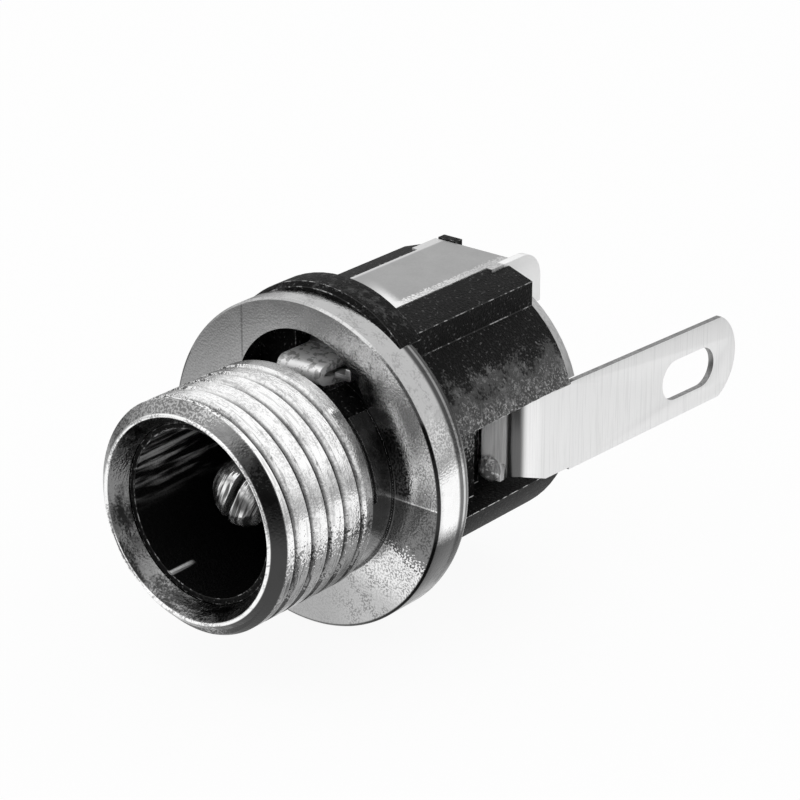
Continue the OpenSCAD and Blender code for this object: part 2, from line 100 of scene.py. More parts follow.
def traced(name, points):
    """Closed line through points, made by extruding one vertex of a plane from each to the next."""
    deselect()
    bpy.ops.mesh.primitive_plane_add(size=MM)
    piece = bpy.context.object
    piece.name = piece.data.name = name
    edit(piece)
    bpy.ops.mesh.merge(type="CENTER")
    bpy.ops.transform.translate(value=points[0])
    for here, there in zip(points, [*points[1:], points[0]]):
        bpy.ops.mesh.extrude_vertices_move(TRANSFORM_OT_translate={"value": Vector(there) - Vector(here)})
    bpy.ops.mesh.select_all(action="SELECT")
    bpy.ops.mesh.remove_doubles(threshold=1e-7)
    return piece


def turned(name, points, steps=192):
    """Ring or rod with this half section (radius, y), spun round the jack's axis."""
    piece = traced(name, [(r, y, 0) for r, y in points])
    bpy.ops.mesh.spin(steps=steps, angle=2 * math.pi, center=(0, 0, 0), axis=(0, 1, 0))
    bpy.ops.mesh.select_all(action="SELECT")
    bpy.ops.mesh.remove_doubles(threshold=1e-7)
    bpy.ops.mesh.normals_make_consistent(inside=False)
    bpy.ops.object.mode_set(mode="OBJECT")
    return piece


def rod_along_y(name, radius, start, end, z, steps=96):
    deselect()
    bpy.ops.mesh.primitive_cylinder_add(
        vertices=steps, radius=radius, depth=end - start,
        location=(0, (start + end) / 2, z), rotation=(math.pi / 2, 0, 0))
    piece = bpy.context.object
    piece.name = name
    bpy.ops.object.transform_apply(location=True, rotation=True, scale=True)
    return piece


def block(name, low, high):
    deselect()
    bpy.ops.mesh.primitive_cube_add(size=1, location=(Vector(low) + Vector(high)) / 2)
    piece = bpy.context.object
    piece.name = name
    piece.scale = Vector(high) - Vector(low)
    bpy.ops.object.transform_apply(location=True, rotation=True, scale=True)
    return piece


def apply_modifier(piece, kind, **settings):
    deselect()
    piece.select_set(True)
    bpy.context.view_layer.objects.active = piece
    step = piece.modifiers.new(kind.lower(), kind)
    for key, value in settings.items():
        setattr(step, key, value)
    bpy.ops.object.modifier_apply(modifier=step.name)


def put_in_order(piece):
    """Lists a cut mesh's corners and faces by place, as a boolean leaves them in another order each run."""
    mesh = piece.data
    corners = [tuple(corner.co) for corner in mesh.vertices]
    order = sorted(range(len(corners)), key=lambda i: corners[i])
    place = {old: new for new, old in enumerate(order)}
    faces = []
    for face in mesh.polygons:
        loop = [place[i] for i in face.vertices]
        first = loop.index(min(loop))
        faces.append(loop[first:] + loop[:first])
    mesh.clear_geometry()
    mesh.from_pydata([corners[i] for i in order], [], sorted(faces))
    mesh.update()


def cut_away(piece, cutter):
    apply_modifier(piece, "BOOLEAN", object=cutter, operation="DIFFERENCE", solver="EXACT")
    bpy.data.objects.remove(cutter)
    put_in_order(piece)


def break_edges(piece, width, segments=2, finish=1, smooth_below=30):
    """Rounds the edges over 35 degrees; the strips along them take the finish with this number."""
    apply_modifier(piece, "BEVEL", width=width, segments=segments, limit_method="ANGLE",
                   angle_limit=math.radians(35), material=finish,
                   use_clamp_overlap=True, miter_outer="MITER_ARC")
    shade(piece, smooth_below)


def shade(piece, angle):
    deselect()
    piece.select_set(True)
    bpy.context.view_layer.objects.active = piece
    bpy.ops.object.shade_smooth_by_angle(angle=math.radians(angle))


def arc(centre, radius, start, end, steps=8):
    turns = [math.radians(start + (end - start) * i / steps) for i in range(steps + 1)]
    return [(centre[0] + radius * math.cos(t), centre[1] + radius * math.sin(t)) for t in turns]


shell = turned("threaded_shell", [
    (bore_r, countersink_back_y),
    (rim_r - 0.06 * MM, mouth_y + 0.07 * MM),
    (rim_r - 0.04 * MM, mouth_y + 0.03 * MM),
    (rim_r - 0.01 * MM, mouth_y + 0.005 * MM),
    (rim_r + 0.02 * MM, mouth_y + 0.005 * MM),
    (rim_r + 0.05 * MM, mouth_y + 0.02 * MM),
    (rim_r + 0.07 * MM, mouth_y + 0.055 * MM),
    (thread_r, chamfer_back_y),
    (thread_r, neck_front_y),
    (neck_r, neck_front_y + thread_r - neck_r),
    (neck_r, 0),
    (flange_r - 0.07 * MM, 0),
    (flange_r, 0.07 * MM),
    *arc((flange_r - flange_round, flange_back_y - flange_round), flange_round, 0, 90),
    (recess_r, flange_back_y),
    (recess_r, web_back_y),
    (bore_r, web_back_y),
])

# The thread is cut by a V-shaped tool that runs out over the neck
tool_half_w = 0.21 * MM
tool_tip_half_w = 0.05 * MM
tool_over = 0.1 * MM
thread_turns = 7
tool_start_y = mouth_y - 0.9 * thread_pitch
thread_tool = traced("thread_tool", [
    (thread_r - thread_depth, tool_start_y - tool_tip_half_w, 0),
    (thread_r - thread_depth, tool_start_y + tool_tip_half_w, 0),
    (thread_r + tool_over, tool_start_y + tool_half_w, 0),
    (thread_r + tool_over, tool_start_y - tool_half_w, 0),
])
bpy.ops.object.mode_set(mode="OBJECT")
apply_modifier(thread_tool, "SCREW", axis="Y", steps=96, render_steps=96, iterations=thread_turns,
               screw_offset=thread_pitch, use_merge_vertices=False, use_smooth_shade=False)
edit(thread_tool)
bpy.ops.mesh.remove_doubles(threshold=1e-7)
bpy.ops.mesh.select_all(action="DESELECT")
bpy.ops.mesh.select_non_manifold()
bpy.ops.mesh.edge_face_add()
bpy.ops.mesh.select_all(action="SELECT")
bpy.ops.mesh.normals_make_consistent(inside=False)
bpy.ops.object.mode_set(mode="OBJECT")
cut_away(shell, thread_tool)

cut_away(shell, rod_along_y("window_drill", window_r, neck_front_y, flange_back_y + MM, z=window_z))

notch_tool = traced("notch_tool", [
    (0, web_back_y, 0),
    (-notch_reach * math.sin(notch_half_angle), web_back_y, notch_reach * math.cos(notch_half_angle)),
    (notch_reach * math.sin(notch_half_angle), web_back_y, notch_reach * math.cos(notch_half_angle)),
])
bpy.ops.mesh.edge_face_add()
bpy.ops.mesh.extrude_region_move(TRANSFORM_OT_translate={"value": (0, 2 * MM, 0)})
bpy.ops.mesh.select_all(action="SELECT")
bpy.ops.mesh.normals_make_consistent(inside=False)
bpy.ops.object.mode_set(mode="OBJECT")
cut_away(shell, notch_tool)


class Value:
    """A number or colour that changes over a surface. Sums and products of numbers add Math nodes."""

    def __init__(self, finish, socket):
        self.finish = finish
        self.socket = socket

    def math(self, operation, first, second=0.0):
        return self.finish.node("ShaderNodeMath", {"operation": operation}, {0: first, 1: second})

    def __add__(self, other):
        return self.math("ADD", self, other)

    def __radd__(self, other):
        return self.math("ADD", other, self)

    def __sub__(self, other):
        return self.math("SUBTRACT", self, other)

    def __rsub__(self, other):
        return self.math("SUBTRACT", other, self)

    def __mul__(self, other):
        return self.math("MULTIPLY", self, other)

    def __rmul__(self, other):
        return self.math("MULTIPLY", other, self)

    def __pow__(self, other):
        return self.math("POWER", self, other)

    def above(self, low, high):
        """0 below low, 1 above high, smooth between."""
        return self.finish.node("ShaderNodeMapRange", {"interpolation_type": "SMOOTHSTEP"},
                                {"Value": self, "From Min": low, "From Max": high}, "Result")

    def clamped(self):
        return self.math("MINIMUM", self.math("MAXIMUM", self, 0.0), 1.0)


class Finish:
    """A material with its Principled shader, and the nodes that feed it."""

    def __init__(self, name):
        self.material = bpy.data.materials.new(name)
        self.material.use_nodes = True
        self.tree = self.material.node_tree
        self.shader = self.tree.nodes["Principled BSDF"]

    def node(self, kind, settings=None, inputs=None, output=0):
        made = self.tree.nodes.new(kind)
        for key, value in (settings or {}).items():
            setattr(made, key, value)
        for key, value in (inputs or {}).items():
            self.feed(made.inputs[key], value)
        return Value(self, made.outputs[output])

    def feed(self, socket, value):
        if isinstance(value, Value):
            self.tree.links.new(value.socket, socket)
        else:
            socket.default_value = value

    def place(self):
        return self.node("ShaderNodeTexCoord", output="Object")

    def stretched(self, scale):
        return self.node("ShaderNodeMapping", {}, {"Vector": self.place(), "Scale": scale})

    def grain(self, size, detail=4.0, roughness=0.5, stretch=(1, 1, 1)):
        """Noise whose blots are about size wide, pulled out along an axis by a small stretch there."""
        return self.node("ShaderNodeTexNoise", {},
                         {"Vector": self.stretched([s / size for s in stretch]), "Scale": 1.0,
                          "Detail": detail, "Roughness": roughness}, 0)

    def axes(self):
        """X, Y and Z on the surface, in metres."""
        split = self.node("ShaderNodeSeparateXYZ", {}, {"Vector": self.place()})
        return [Value(self, split.socket.node.outputs[i]) for i in range(3)]

    def grey(self, amount):
        return self.node("ShaderNodeCombineColor", {}, {0: amount, 1: amount, 2: amount})

    def bumped(self, height, distance, strength=1.0):
        return self.node("ShaderNodeBump", {}, {"Height": height, "Distance": distance,
                                                "Strength": strength})

    def set(self, **sockets):
        names = {"colour": "Base Color", "roughness": "Roughness", "metallic": "Metallic",
                 "normal": "Normal", "specular": "Specular IOR Level"}
        for key, value in sockets.items():
            if key == "colour" and isinstance(value, (int, float)):
                value = (value, value, value, 1)
            self.feed(self.shader.inputs[names[key]], value)
        return self.material


def turned_plate(finish, size, along=25.0):
    """Noise pulled out round the jack's axis, as the lathe leaves its marks."""
    x, y, z = finish.axes()
    radius = (x * x + z * z) ** 0.5
    place = finish.node("ShaderNodeCombineXYZ", {}, {
        0: radius * (1 / size) + x * (1 / size / along),
        1: y * (1 / size),
        2: z * (1 / size / along)})
    return finish.node("ShaderNodeTexNoise", {}, {"Vector": place, "Scale": 1.0, "Detail": 3.0,
                                                  "Roughness": 0.6})


def shell_plate():
    """Nickel plate, with painted shade in the grooves, under the thread and on the neck, and painted light
    and reflections on the flange and countersink.

    Where darker plate meets brighter plate, the border breaks up into fine specks.
    """
    finish = Finish("nickel_plate")
    x, y, z = finish.axes()
    radius = (x * x + z * z) ** 0.5
    fine = finish.grain(0.075 * MM, 1.0, 0.5)
    specks = fine.above(0.46, 0.56)
    coarse = finish.grain(0.6 * MM, 3.0, 0.6)
    marks = turned_plate(finish, 0.12 * MM, 8.0)
    patchy = coarse.above(0.45, 0.6)

    def split(value, level, fray):
        """1 where value is below the level, with a border frayed by the specks over this width."""
        frayed = value + (fine - 0.5) * (4 * fray) + (coarse - 0.5) * (1.5 * fray)
        return 1 - frayed.above(level - 0.1 * fray, level + 0.1 * fray)

    # Threaded end: painted shade in the grooves and on the underside, and a lead-in chamfer painted near
    # black as shade
    on_thread = 1 - y.above(-1.25 * MM, -1.15 * MM)
    on_chamfer = 1 - y.above(chamfer_back_y - 0.03 * MM, chamfer_back_y + 0.005 * MM)
    on_lip = 1 - y.above(mouth_y + 0.05 * MM, mouth_y + 0.08 * MM)
    on_lip = on_lip * radius.above(rim_r - 0.08 * MM, rim_r - 0.05 * MM)
    inside = 1 - radius.above(rim_r - 0.06 * MM, rim_r - 0.04 * MM)
    # Painted shade in the thread's grooves and on its flanks
    valley = on_thread * (1 - radius.above(3.72 * MM, 3.8 * MM)) * (1 - on_chamfer)
    flank = on_thread * (1 - radius.above(3.8 * MM, 3.9 * MM)) * (1 - on_chamfer)
    near_mouth = split(x, -0.6 * MM, 0.9 * MM) + split(y, -4.9 * MM, 0.4 * MM) * split(x, 1.5 * MM, 0.6 * MM)
    speckled = specks * (0.25 * patchy + 0.8 * near_mouth.clamped() * z.above(1.2 * MM, 2.6 * MM)).clamped()
    # Painted shade on the thread's lower side, deeper on its underside
    side = split(z, -0.5 * MM, 0.9 * MM)
    below = split(z, -2.0 * MM, 0.5 * MM)
    lined = marks.above(0.54, 0.62) * (0.25 + 0.4 * side)
    thread_tone = (1 - speckled) * (1 - 0.7 * side - 0.22 * below) * (1 - lined)
    thread_tone = thread_tone * (1 - 0.93 * valley) * (1 - 0.5 * flank)
    # Painted shade: the chamfer is near black, a little lighter at its top
    high = 1 - split(z, 2.4 * MM, 0.5 * MM)
    chamfer_tone = 0.06 + 0.13 * high + 0.25 * specks * split(x, 1.5 * MM, 1 * MM)
    # Painted reflections: streaks round the countersink, with painted shade on its left
    bowl = turned_plate(finish, 0.9 * MM, 3.0)
    bowl_tone = 0.06 + 0.34 * (bowl + (fine - 0.5) * 0.25).above(0.44, 0.6)
    bowl_tone = bowl_tone * (1 - 0.45 * (1 - x.above(-2.6 * MM, -1.6 * MM)))
    lip_tone = 1 - 0.5 * specks * patchy
    # Painted shade: the neck is painted dark
    on_neck = y.above(-1.15 * MM, -1.05 * MM) * (1 - radius.above(3.86 * MM, 3.92 * MM))

    # Flange: its face and its rim, both with painted light and shade
    on_rim = radius.above(flange_r - 0.12 * MM, flange_r - 0.06 * MM)
    on_face = (1 - on_rim) * (1 - y.above(0.05 * MM, 0.1 * MM)) * y.above(-0.1 * MM, -0.05 * MM)
    # Painted light low on the face, fading out at its lowest part
    low = split(z + x * 0.4, -0.4 * MM, 0.5 * MM) * (1 - z.above(-0.7 * MM, -0.2 * MM))
    lowest = 1 - (z + x * 0.3).above(-3.2 * MM, -1.8 * MM)
    # Painted reflection of the dark neck on the face beside it
    neck_reflection = split(radius, 4.45 * MM, 0.2 * MM) * (1 - x.above(4.6 * MM, 4.8 * MM))
    neck_reflection = neck_reflection * x.above(2.9 * MM, 3.1 * MM) * z.above(-0.1 * MM, 0.1 * MM)
    neck_reflection = neck_reflection * split(z, 2.2 * MM, 0.25 * MM)
    # Painted shade: a dark wedge low on the right of the face
    wedge = (1 - z.above(-0.16 * MM, -0.1 * MM)) * x.above(3 * MM, 3.4 * MM) * (1 - low)
    # Painted highlight: a thin bright line across the right of the face, just below the middle
    glint_line = z.above(-0.15 * MM, -0.12 * MM) * (1 - z.above(-0.1 * MM, -0.07 * MM))
    glint_line = glint_line * x.above(3 * MM, 3.2 * MM)
    # Painted reflection: a thin dark line up the upper left of the face
    dark_reflection_line = x.above(-2.64 * MM, -2.6 * MM) * (1 - x.above(-2.56 * MM, -2.52 * MM))
    dark_reflection_line = dark_reflection_line * z.above(3 * MM, 3.2 * MM)
    # Painted reflection: the face is mid grey, lighter to the right, with a painted highlight on its right
    right = (x + (coarse - 0.5) * (2 * MM)).above(0.5 * MM, 3 * MM)
    lit = right * x.above(3.2 * MM, 4 * MM) * z.above(-0.1 * MM, MM)
    face_tone = 0.44 + 0.12 * right + 0.42 * lit
    face_tone = face_tone * (1 - 0.45 * specks * right * patchy) * (1 - 0.1 * specks)
    face_tone = face_tone * (1 - 0.93 * neck_reflection * (1 - 0.4 * specks)) * (1 - 0.6 * wedge)
    face_tone = face_tone - 0.15 * dark_reflection_line
    # Painted highlight where the face meets the neck, on the right
    neck_line = (1 - radius.above(3.9 * MM, 3.93 * MM)) * x.above(2.2 * MM, 2.6 * MM)
    face_tone = face_tone + low * (0.36 * (1 - 0.75 * specks) * (1 - lowest))
    face_tone = face_tone + 0.6 * glint_line + 0.4 * neck_line
    # Painted glints on the rim, at middle height
    sparkle = specks * (1 - z.above(2.2 * MM, 3.2 * MM)) * z.above(0.4 * MM, 1.2 * MM)
    # Painted light and shade on the rim: lighter below the middle, a dark band on the shoulder with a
    # lighter line in it, dark along its front edge except at the top, and dark underneath
    right_side = 1 - z.above(0.5 * MM, 2.5 * MM)
    rim_tone = 0.5 - 0.12 * specks * patchy + 0.65 * right_side + 0.4 * sparkle
    shoulder = y.above(1 * MM, 1.15 * MM) * (1 - y.above(1.6 * MM, 1.66 * MM))
    ring = y.above(1.26 * MM, 1.3 * MM) * (1 - y.above(1.36 * MM, 1.4 * MM))
    rim_tone = rim_tone * (1 - 0.85 * shoulder * (1 - 0.5 * ring))
    rim_tone = rim_tone * (1 - 0.95 * (1 - y.above(0.08 * MM, 0.12 * MM)) * (1 - z.above(2.6 * MM, 3 * MM)))
    rim_tone = rim_tone * (1 - 0.3 * right_side * (1 - y.above(0.05 * MM, 0.45 * MM)))
    rim_tone = rim_tone * (1 - 0.92 * (1 - (z + (fine - 0.5) * (0.5 * MM)).above(-1.5 * MM, -0.6 * MM)))

    off_face = (1 - on_face - on_rim).clamped()
    front = inside * bowl_tone + (1 - inside) * (on_chamfer * chamfer_tone + (1 - on_chamfer) * thread_tone)
    front = front * (1 - on_lip) + lip_tone * on_lip
    tone = on_face * face_tone + on_rim * rim_tone + off_face * ((1 - on_thread) * 0.9 + on_thread * front)
    tone = tone * (1 - 0.85 * on_neck)
    relief = fine * 0.7 + marks * 0.3
    return finish.set(colour=finish.grey(tone.clamped()), metallic=1.0, roughness=0.16 + 0.12 * patchy,
                      normal=finish.bumped(relief, 0.03 * MM, 0.35))


def pin_plate():
    """Bright nickel with painted highlight streaks beside the slot, which also bump it, and painted shade on
    the right half.
    """
    finish = Finish("pin_plate")
    x, y, z = finish.axes()
    lean = math.radians(66)
    along = x * math.cos(lean) + z * math.sin(lean)
    across = z * math.cos(lean) - x * math.sin(lean)
    place = finish.node("ShaderNodeCombineXYZ", {}, {
        0: across * (1 / (0.17 * MM)), 1: y * (1 / (0.6 * MM)), 2: along * (1 / (1.3 * MM))})
    streaks = finish.node("ShaderNodeTexNoise", {}, {"Vector": place, "Scale": 1.0, "Detail": 2.0,
                                                     "Roughness": 0.5})
    # Painted shade: a dark patch on the right half
    painted_dark_patch = 1 - (((x - 0.5 * MM) ** 2.0 + (z + 0.05 * MM) ** 2.0) ** 0.5).above(0.15 * MM, 0.5 * MM)
    at_back = y.above(0, MM)
    # Painted highlights where the streaks are light
    tone = (0.12 + 0.88 * streaks.above(0.4, 0.6)) * (1 - 0.85 * painted_dark_patch) * (1 - at_back) + 0.7 * at_back
    return finish.set(colour=finish.grey(tone), metallic=0.85, roughness=0.15,
                      normal=finish.bumped(streaks, 0.08 * MM, 0.6))


def bright_edge():
    """Near-white plate along the rounded edges, a painted highlight there, broken by darker specks."""
    finish = Finish("bright_edge")
    specks = finish.grain(0.12 * MM, 2.0, 0.6)
    return finish.set(colour=finish.grey(1.0 - 0.3 * specks.above(0.55, 0.65)), metallic=1.0, roughness=0.3)


shell.data.materials.append(shell_plate())
shell.data.materials.append(bright_edge())
break_edges(shell, 0.035 * MM, smooth_below=15)
# Painted highlight on edges: of the thread's and rim's edges, only those of the thread that face the mouth
# and the top of the flange's edge keep the bright edge finish
for face in shell.data.polygons:
    middle = face.center
    on_thread = middle.y < neck_front_y + 0.1 * MM
    thread_edge_plain = on_thread and (face.normal.y > 0 or middle.y < chamfer_back_y - 0.1 * MM)
    on_rim = abs(middle.y) < 0.12 * MM and middle.xz.length > flange_r - 0.2 * MM
    rim_edge_plain = on_rim and middle.z < 2.8 * MM
    if thread_edge_plain or rim_edge_plain:
        face.material_index = 0
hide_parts("shell")
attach(shell, "root")


# ---------------------------------------------------------------------------
# Housing. Compression moulded in black thermoset, with rails on its roof, a
# collar that locks in the flange's notch and a liner in the shell's bore. Its
# edges are slightly rounded, with a painted highlight along them that is
# brightest beside the pocket, and it is dusty grey low on its sides.


def finished_copy(node, name):
    """Copy of a CAD node with its flat faces made whole, which takes the node's place."""
    deselect()
    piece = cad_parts[node].copy()
    piece.data = piece.data.copy()
    piece.name = piece.data.name = name
    for key in list(piece.keys()):
        del piece[key]
    piece.parent = None
    bpy.context.scene.collection.objects.link(piece)
    piece.data.materials.clear()
    edit(piece)
    bpy.ops.mesh.remove_doubles(threshold=1e-7)
    bpy.ops.mesh.dissolve_limited(angle_limit=math.radians(0.5))
    bpy.ops.object.mode_set(mode="OBJECT")
    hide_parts(node)
    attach(piece, "root")
    return piece


def moulding():
    """Black moulding: grainy skin, dusty grey low on the sides, painted reflection streaks inside the bore,
    painted highlights in the bore's mouth and along a rail's foot.
    """
    finish = Finish("black_moulding")
    x, y, z = finish.axes()
    radius = (x * x + z * z) ** 0.5
    grain = finish.grain(0.09 * MM, 2.0, 0.6)
    flecks = grain.above(0.52, 0.64)
    cloud = finish.grain(0.9 * MM, 4.0, 0.6)
    blur = (cloud - 0.5) * (3 * MM) + (grain - 0.5) * (3 * MM)
    dust = (1 - (z + blur).above(2.0 * MM, 2.8 * MM)) * (z + blur).above(-0.6 * MM, 0.4 * MM)
    dust = dust * y.above(1.6 * MM, 1.9 * MM)
    inside = (1 - radius.above(2.86 * MM, 2.9 * MM)) * (1 - y.above(3 * MM, 4.4 * MM))
    streaks = finish.node("ShaderNodeTexNoise", {}, {
        "Vector": finish.stretched((1 / (0.35 * MM), 1 / (3 * MM), 1 / (0.35 * MM))),
        "Scale": 1.0, "Detail": 3.0, "Roughness": 0.6})
    # Painted reflection: grey streaks along the bore on its left
    bore_reflections = inside * streaks.above(0.46, 0.7) * (1 - x.above(-1.5 * MM, 0.5 * MM))
    bore_reflections = bore_reflections * z.above(-0.8 * MM, 0.6 * MM)
    bruise = finish.grain(0.35 * MM, 3.0, 0.6).above(0.5, 0.66)
    ash = 0.07 + 0.26 * flecks + 0.08 * bruise
    # Painted highlight: a short bright dash low in the bore near the mouth
    mouth_dash = inside * (1 - x.above(-1.3 * MM, -1.2 * MM)) * (1 - y.above(-4 * MM, -3.8 * MM))
    mouth_dash = mouth_dash * (1 - z.above(-2.48 * MM, -2.44 * MM)) * z.above(-2.56 * MM, -2.52 * MM)
    # Painted highlight: a thin bright line along the foot of the right rail
    foot = (1 - y.above(5 * MM, 5.4 * MM)) * y.above(3 * MM, 3.2 * MM)
    foot = foot * (1 - radius.above(4.68 * MM, 4.7 * MM))
    foot = foot * (1 - x.above(2.69 * MM, 2.73 * MM)) * x.above(2.57 * MM, 2.59 * MM) * z.above(0, MM)
    dots = finish.grain(0.11 * MM, 1.0, 0.5).above(0.67, 0.71)
    on_collar = radius.above(5 * MM, 5.1 * MM) * (1 - y.above(2.2 * MM, 2.3 * MM))
    mottled = on_collar * bruise * cloud.above(0.42, 0.6)
    skin = 0.015 * flecks * cloud.above(0.4, 0.6) + 0.07 * dots + 0.05 * mottled
    tone = 0.003 + dust * ash + (1 - inside) * skin
    tone = (tone + 0.4 * bore_reflections + 0.8 * mouth_dash * streaks.above(0.4, 0.6) + 0.8 * foot).clamped()
    return finish.set(colour=finish.grey(tone), roughness=0.55 - 0.25 * inside,
                      normal=finish.bumped(grain, 0.08 * MM, 0.8), specular=0.09)


def moulding_edge():
    """Painted highlight along the moulding's rounded edges, a little paler than its faces."""
    finish = Finish("moulding_edge")
    highlight_breakup = finish.grain(0.3 * MM, 4.0, 0.65)
    x, y, z = finish.axes()
    # Painted highlight, brighter beside the pocket and broken up by noise
    pocket_side = (1 - z.above(2 * MM, 2.4 * MM)) * x.above(2.4 * MM, 2.8 * MM) * y.above(3 * MM, 3.2 * MM)
    tone = 0.01 + (0.35 + 0.5 * pocket_side) * (highlight_breakup + 0.05 * pocket_side).above(0.5, 0.62)
    return finish.set(colour=finish.grey(tone), roughness=0.5, specular=0.3)


housing = finished_copy("housing", "moulded_housing")
housing.data.materials.append(moulding())
housing.data.materials.append(moulding_edge())
break_edges(housing, 0.045 * MM)


# ---------------------------------------------------------------------------
# Centre pin. Turned from brass, rounded at its tip, split by a saw and opened
# a little so that it springs against the plug, then nickel plated. Its shank
# goes through the housing and is peened over the terminal.

pin_low, pin_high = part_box("centre_pin")
pin_r = pin_high.x
pin_nose = 0.62 * MM
pin_spread = 0.07 * MM
shank_r = 0.7 * MM
bore_end_y = 4.5 * MM
terminal_t = 0.36 * MM
head_front_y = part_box("pin_terminal")[0].y + terminal_t
saw_half_w = 0.15 * MM
saw_depth = 5 * MM
saw_turn = math.radians(64)

pin = turned("centre_contact_pin", [
    (0, pin_low.y),
    *arc((pin_r + pin_spread - pin_nose, pin_low.y + pin_nose), pin_nose, -90, 0, 12),
    (pin_r, bore_end_y),
    (shank_r, bore_end_y),
    (shank_r, head_front_y),
    (pin_r, head_front_y),
    *arc((0, pin_high.y - 2 * pin_r), 2 * pin_r, 26, 90, 10),
], steps=96)
saw = block("saw", (-pin_r * 2, pin_low.y - MM, -saw_half_w), (pin_r * 2, pin_low.y + saw_depth, saw_half_w))
edit(saw)
bpy.ops.transform.rotate(value=saw_turn, orient_axis="Y", center_override=(0, 0, 0))
bpy.ops.object.mode_set(mode="OBJECT")
cut_away(pin, saw)
pin.data.materials.append(pin_plate())
break_edges(pin, 0.16 * MM, segments=5, finish=0)
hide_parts("centre_pin")
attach(pin, "root")


# ---------------------------------------------------------------------------
# Sheet contacts. Stamped from thin plated strip, folded, and slid into the
# housing from the rear. The fine lines across them are from rolling, and the
# stamping leaves one side of each edge rounded and the other rough.


def rolled_sheet(name, tone, streak, along, roughness=0.3):
    """Plated strip with fine rolling lines; along gives the direction they run in."""
    finish = Finish(name)
    stretch = [0.02 if axis == along else 1.0 for axis in "xyz"]
    lines = finish.grain(0.09 * MM, 3.0, 0.7, stretch)
    broad = finish.grain(0.7 * MM, 2.0, 0.5, stretch)
    shade_of_grey = tone - streak * lines.above(0.45, 0.65) - 0.5 * streak * broad.above(0.5, 0.65)
    return finish.set(colour=finish.grey(shade_of_grey), metallic=1.0, roughness=roughness + 0.1 * lines,
                      normal=finish.bumped(lines, 0.008 * MM, 0.3))


def sheet_piece(node, name, main, edge, width=0.03 * MM):
    """Finished copy of a node with one finish on its faces and another on edges broken this wide."""
    piece = finished_copy(node, name)
    piece.data.materials.append(main)
    piece.data.materials.append(edge)
    break_edges(piece, width)
    return piece


def spring_plate():
    """Nickel plate: painted shade on the flat plate, painted highlights round its rim and along its torn
    right edge, and bright on the leaf and ear.
    """
    finish = Finish("spring_plate")
    x, y, _ = finish.axes()
    fine = finish.grain(0.07 * MM, 2.0, 0.6)
    cloud = finish.grain(0.8 * MM, 3.0, 0.6)
    fray = (fine - 0.5) * (0.6 * MM)
    ear = y.above(8.5 * MM, 8.6 * MM) * x.above(1.4 * MM, 1.5 * MM)
    leaf = 1 - y.above(1.4 * MM, 1.5 * MM)
    flat = (1 - ear) * (1 - leaf)
    torn = (x + fray).above(1.15 * MM, 1.2 * MM) * (1 - 0.6 * y.above(3.5 * MM, 8 * MM))
    torn = torn * (0.3 + 0.7 * fine.above(0.45, 0.55))
    # Painted highlight: a bright band just behind the collar, and one along the left rim
    behind_collar = 1 - (y + x * 0.51 + fray * 0.5).above(3.9 * MM, 4.35 * MM)
    left_rim = 1 - x.above(-1.42 * MM, -1.3 * MM)
    # The torn right edge and the painted highlights, together
    torn_and_highlit = (torn + behind_collar * x.above(-1 * MM, 1 * MM) + 0.6 * left_rim).clamped()
    worn = finish.grain(0.25 * MM, 3.0, 0.6).above(0.5, 0.6)
    # Painted shade: the flat plate is much darker than the leaf and ear
    tone = (0.3 + 0.08 * fine + 0.08 * cloud + 0.5 * torn_and_highlit) * flat + 0.95 * ear + (0.95 - 0.5 * worn) * leaf
    return finish.set(colour=finish.grey(tone), metallic=1.0 - 0.5 * (1 - flat), roughness=0.4,
                      normal=finish.bumped(fine, 0.02 * MM, 0.15 + 0.6 * torn))


def tinned_sheet():
    """Bright tin on the blade, streaked on the leg, with a line painted dark as shade where the sheet turns
    and a painted highlight band just beyond it.
    """
    finish = Finish("tinned_sheet")
    x, y, _ = finish.axes()
    lines = finish.grain(0.07 * MM, 3.0, 0.7, (1, 1, 0.02))
    scores = lines.above(0.5, 0.62)
    # Painted shade along the turn of the sheet
    turn = x.above(3.75 * MM, 3.9 * MM) * (1 - y.above(6.25 * MM, 6.5 * MM))
    leg = (1 - y.above(6.3 * MM, 6.4 * MM)) * (1 - turn)
    # Painted highlight: a brighter band on the blade just past the turn
    shine = y.above(6.5 * MM, 6.6 * MM) * (1 - y.above(7 * MM, 7.4 * MM))
    tone = (0.89 - 0.07 * scores + 0.1 * shine) * (1 - leg) + (1 - 0.2 * scores) * leg
    return finish.set(colour=finish.grey(tone * (1 - 0.85 * turn)), metallic=0.85 * (1 - leg),
                      roughness=0.45 - 0.2 * turn, normal=finish.bumped(lines, 0.008 * MM, 0.3))


plate_finish = spring_plate()
spring_finish = rolled_sheet("shunt_sheet", 1.0, 0.3, "x", 0.3)
tin_finish = tinned_sheet()
# Painted shade: the tin's edge finish is much darker than the blade
tin_edge = rolled_sheet("tinned_edge", 0.3, 0.1, "z", 0.4)
terminal_finish = rolled_sheet("terminal_sheet", 0.5, 0.1, "z", 0.4)
sheet_piece("sleeve_contact", "sleeve_contact_spring", plate_finish, bright_edge())
sheet_piece("shunt_contact", "shunt_contact_arm", spring_finish, bright_edge(), 0.02 * MM)
sheet_piece("pin_terminal", "pin_terminal_plate", terminal_finish, terminal_finish)
lug = sheet_piece("side_lug", "side_solder_lug", tin_finish, tin_edge)
# The blade's sheared edge faces take the darker edge finish as painted shade; those of the leg in the pocket
# don't
blade_start_y = 7 * MM
for face in lug.data.polygons:
    on_edge = abs(face.normal.x) < 0.7
    face.material_index = int(on_edge and face.center.y > blade_start_y)


# ---------------------------------------------------------------------------
# Lug rivet. Soft rivet, dull and rough where the tool struck it.


